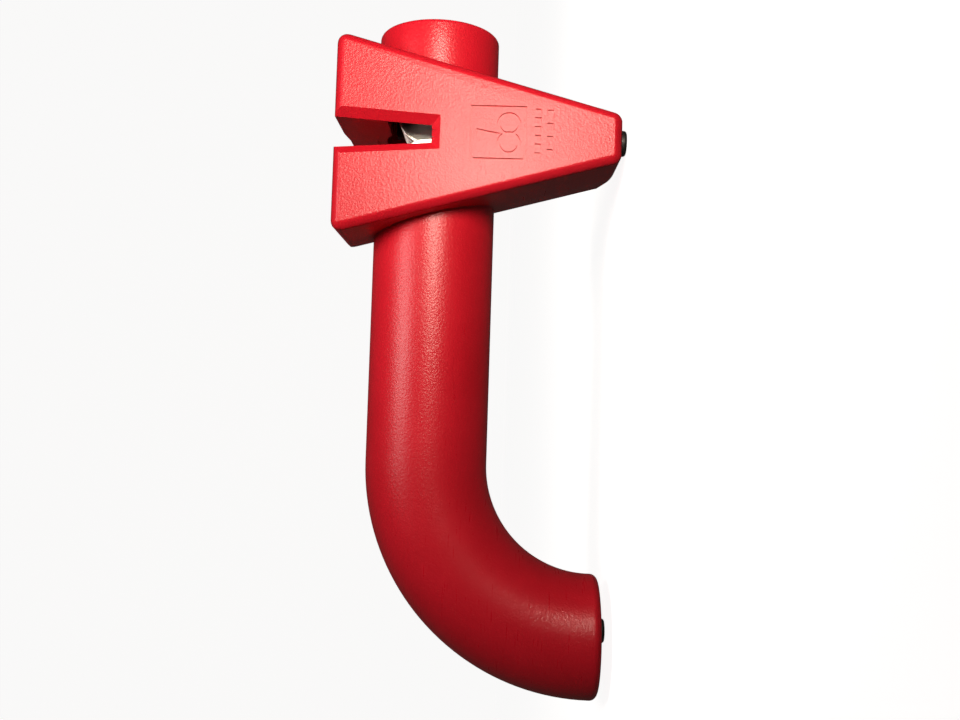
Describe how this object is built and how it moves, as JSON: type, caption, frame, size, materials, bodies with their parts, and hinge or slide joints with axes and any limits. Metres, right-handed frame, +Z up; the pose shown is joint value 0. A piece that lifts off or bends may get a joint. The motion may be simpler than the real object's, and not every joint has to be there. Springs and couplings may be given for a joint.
{
  "type": "knife sharpener",
  "caption": "Pull-through knife sharpener with a J-shaped tube handle, a wedge-shaped head with a bevelled slot, interleaved steel discs and rubber feet.",
  "frame": {"origin": "middle of the bounding box in plan, on the table plane under the two rubber feet", "axes": "+Z up, out of the mouth of the knife slot; +X along the straight tube, from the bent tail to the closed top end; +Y from the marked front face to the back, the way the knife is drawn"},
  "size_m": [0.174, 0.0406, 0.0732],
  "materials": {
    "red_plastic": "satin, fine spark-eroded texture",
    "carrier_plastic": "matte black",
    "disc_steel": "fine ground",
    "screw_steel": "plated",
    "foot_rubber": "semi-gloss"
  },
  "bodies": {
    "body": {"front_shell": "red_plastic", "rear_shell": "red_plastic", "handle_tube": "red_plastic", "top_plug": "red_plastic", "tail_plug": "red_plastic", "disc_carrier": "carrier_plastic", "carrier_screws": "screw_steel", "upper_axle": "screw_steel", "lower_axle": "screw_steel", "axle_rings": "screw_steel", "jaw_screws": "screw_steel", "nose_screws": "screw_steel", "nose_foot": "foot_rubber", "tail_foot": "foot_rubber"},
    "upper_wheels": {"upper_discs": "disc_steel", "upper_spacers": "carrier_plastic"},
    "lower_wheels": {"lower_discs": "disc_steel", "lower_spacers": "carrier_plastic"}
  },
  "joints": [
    {"name": "upper_spin", "type": "hinge", "parent": "body", "child": "upper_wheels", "pos_m": [0.0628, 0, 0.0502], "axis": [0, 1, 0], "continuous": true},
    {"name": "lower_spin", "type": "hinge", "parent": "body", "child": "lower_wheels", "pos_m": [0.0482, 0, 0.0502], "axis": [0, 1, 0], "continuous": true}
  ]
}
